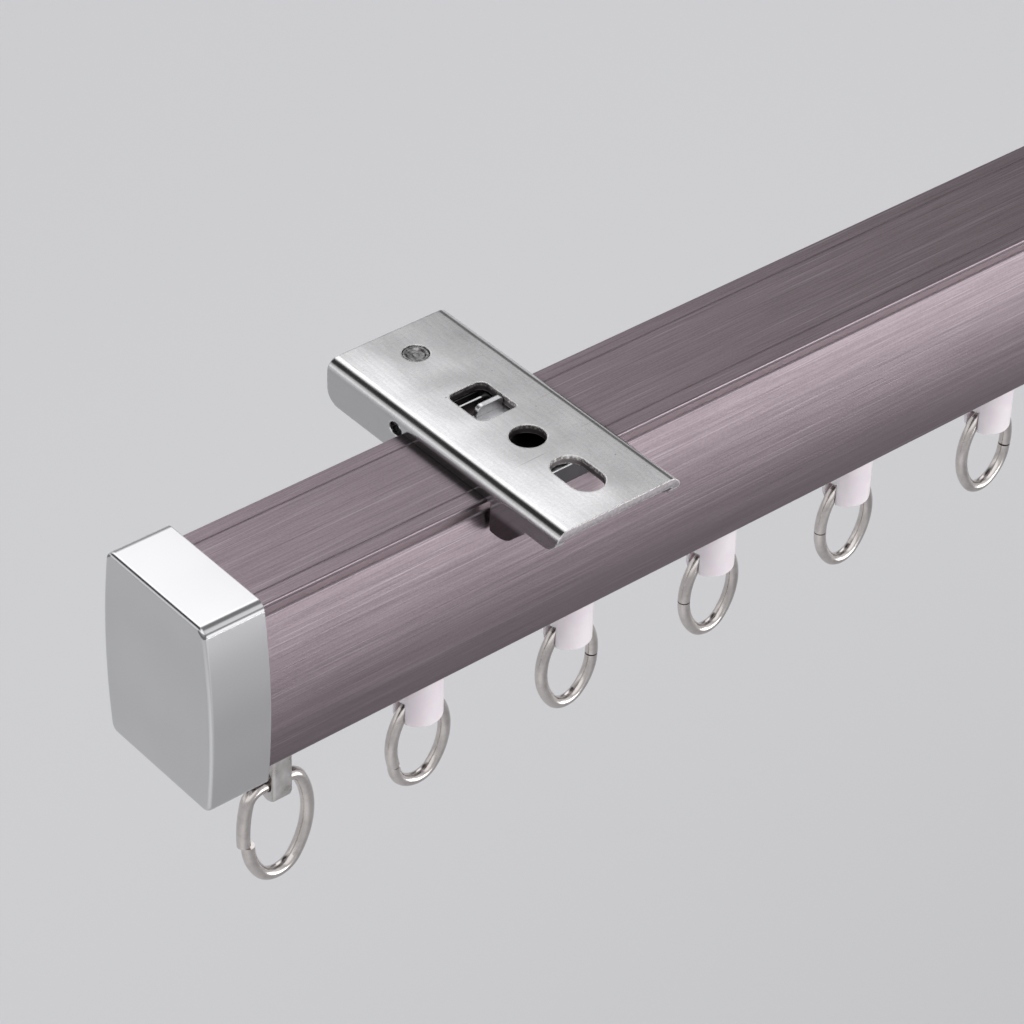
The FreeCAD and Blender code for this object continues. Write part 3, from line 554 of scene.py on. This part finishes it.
def dress_all():
    cap, ring, cast, plastic = cap_metal(), ring_metal(), cast_metal(), runner_plastic()
    of_side = {
        "end_cap": cap,
        "end_stop": cast,
        "end_ring": ring,
        "bracket_cover": sheet_steel("bright_sheet", COVER_DARK, COVER_LIGHT, (0.12, 0.18), cover_details),
        "latch_plate": sheet_steel("latch_sheet", LATCH_DARK, LATCH_LIGHT, (0.26, 0.38), latch_details),
        "latch_spring": sheet_steel("spring_wire_steel", SPRING_DARK, SPRING_LIGHT, (0.32, 0.42)),
        "spring_rivet": sheet_steel("rivet_head_steel", RIVET_DARK, RIVET_LIGHT, (0.08, 0.14)),
    }
    dress("rail", rail_metal())
    for side in SIDES:
        for piece, material in of_side.items():
            dress(f"{side}_{piece}", material)
    for number in RUNNERS:
        dress(f"runner_{number}", plastic)
        dress(f"runner_ring_{number}", ring)


# Light, floor and studio
def aim(item, place, target):
    item.location = place
    item.rotation_euler = (Vector(target) - Vector(place)).to_track_quat("-Z", "Y").to_euler()


def softbox(name, direction, distance, width, height, radiance, below=False):
    """An area lamp of even radiance in the given direction from the track, facing it or shining down."""
    lamp = bpy.data.lights.new(name, "AREA")
    lamp.shape = "RECTANGLE"
    lamp.size = width
    lamp.size_y = height
    lamp.energy = radiance * math.pi * width * height
    item = bpy.data.objects.new(name, lamp)
    bpy.context.scene.collection.objects.link(item)
    item.visible_camera = False
    place = Vector(LIT_PLACE) + Vector(direction).normalized() * distance
    aim(item, place, place - Vector((0, 0, 1)) if below else LIT_PLACE)


def make_lights():
    softbox(
        "right_softbox",
        direction=(0.52, -0.80, -0.14),
        distance=1.1,
        width=0.9,
        height=0.5,
        radiance=4.0,
    )
    softbox(
        "floor_softbox",
        direction=(-0.75, -0.65, -0.25),
        distance=1.02,
        width=0.9,
        height=0.9,
        radiance=0.9,
        below=True,
    )


def floor_colour():
    """Pale matt floor with a patch of painted shade."""
    m = Shader("pale_floor")
    cloud = m.noise(m.place, scale=0.8, detail=1.0)
    pale = m.mix(m.spread(cloud), FLOOR_DARK, FLOOR_LIGHT)
    x, y, _ = m.axes(m.place)
    x_part = m.minus(x, PATCH_PLACE[0])
    y_part = m.minus(y, PATCH_PLACE[1])
    squares = m.math("ADD", m.times(x_part, x_part), m.times(y_part, y_part))
    reach = m.math("POWER", squares, 0.5)
    m.set(Roughness=0.9, Specular_IOR_Level=0.1)
    # Painted shade: the floor darkens towards the patch's middle, so the metal mirrors a darker floor there.
    m.use(Base_Color=m.mix(m.fall(reach, PATCH_REACH), pale, FLOOR_PAINTED_SHADE))
    return m.material


def make_floor():
    mesh = bpy.data.meshes.new("floor")
    signs = ((-1, -1), (1, -1), (1, 1), (-1, 1))
    corners = [(x * FLOOR_HALF, y * FLOOR_HALF, -FLOOR_DROP) for x, y in signs]
    mesh.from_pydata(corners, [], [(0, 1, 2, 3)])
    floor = bpy.data.objects.new("floor", mesh)
    bpy.context.scene.collection.objects.link(floor)
    mesh.materials.append(floor_colour())


def panel_share(nodes, value, low, high, soft):
    """One where a value lies between low and high, with soft ends."""
    rise = nodes.ramp(value, low - soft, low + soft)
    return nodes.minus(rise, nodes.ramp(value, high - soft, high + soft))


def studio_level(nodes):
    """The light's strength in each direction: a base level, with each panel laid over those before it."""
    direction = nodes.node("ShaderNodeTexCoord").outputs["Generated"]
    x, y, z = nodes.axes(direction)
    turn = nodes.math("DEGREES", nodes.math("ARCTAN2", z, x), 0.0)
    level = BASE_LIGHT
    for turn_low, turn_high, y_low, y_high, soft, radiance in PANELS:
        across = panel_share(nodes, turn, turn_low, turn_high, soft)
        along = panel_share(nodes, y, y_low, y_high, soft / SOFT_DEGREES_PER_UNIT)
        share = nodes.times(across, along)
        rest = nodes.minus(1.0, share)
        level = nodes.math("ADD", nodes.times(level, rest), nodes.times(share, radiance))
    return level


def make_world():
    """A studio of panels and screens that lights the track, and an even backdrop that the camera sees."""
    world = bpy.data.worlds.new("studio")
    bpy.context.scene.world = world
    world.use_nodes = True
    nodes = Nodes(world.node_tree)
    light = nodes.node("ShaderNodeBackground")
    light.inputs["Color"].default_value = (*LIGHT_TINT, 1.0)
    nodes.link(studio_level(nodes), light.inputs["Strength"])
    seen = nodes.node("ShaderNodeBackground")
    seen.inputs["Color"].default_value = (*BACKGROUND, 1.0)
    path = nodes.node("ShaderNodeLightPath")
    mix = nodes.node("ShaderNodeMixShader")
    output = nodes.node("ShaderNodeOutputWorld")
    nodes.link(path.outputs["Is Camera Ray"], mix.inputs["Fac"])
    nodes.link(light.outputs["Background"], mix.inputs[1])
    nodes.link(seen.outputs["Background"], mix.inputs[2])
    nodes.link(mix.outputs["Shader"], output.inputs["Surface"])


def camera_rotation():
    """The camera's right, up and back directions as a rotation, with its roll."""
    azimuth, elevation = math.radians(CAMERA_AZIMUTH), math.radians(CAMERA_ELEVATION)
    back_x = math.sin(azimuth) * math.cos(elevation)
    back_y = -math.cos(azimuth) * math.cos(elevation)
    back = Vector((back_x, back_y, math.sin(elevation)))
    level = Vector((math.cos(azimuth), math.sin(azimuth), 0))
    upright = back.cross(level)
    turn = math.radians(CAMERA_ROLL)
    right = level * math.cos(turn) + upright * math.sin(turn)
    up = upright * math.cos(turn) - level * math.sin(turn)
    return Matrix((right, up, back)).transposed()


def make_camera():
    data = bpy.data.cameras.new("camera")
    data.lens = CAMERA_LENS
    data.sensor_width = CAMERA_SENSOR
    data.clip_start, data.clip_end = CAMERA_CLIP
    camera = bpy.data.objects.new("camera", data)
    bpy.context.scene.collection.objects.link(camera)
    camera.matrix_world = Matrix.Translation(CAMERA_PLACE) @ camera_rotation().to_4x4()
    bpy.context.scene.camera = camera


def write_sizes():
    """Brings the view layer up to date."""
    bpy.context.view_layer.update()


dress_all()
make_floor()
make_world()
make_lights()
make_camera()
bpy.context.scene.view_settings.view_transform = "Standard"
write_sizes()
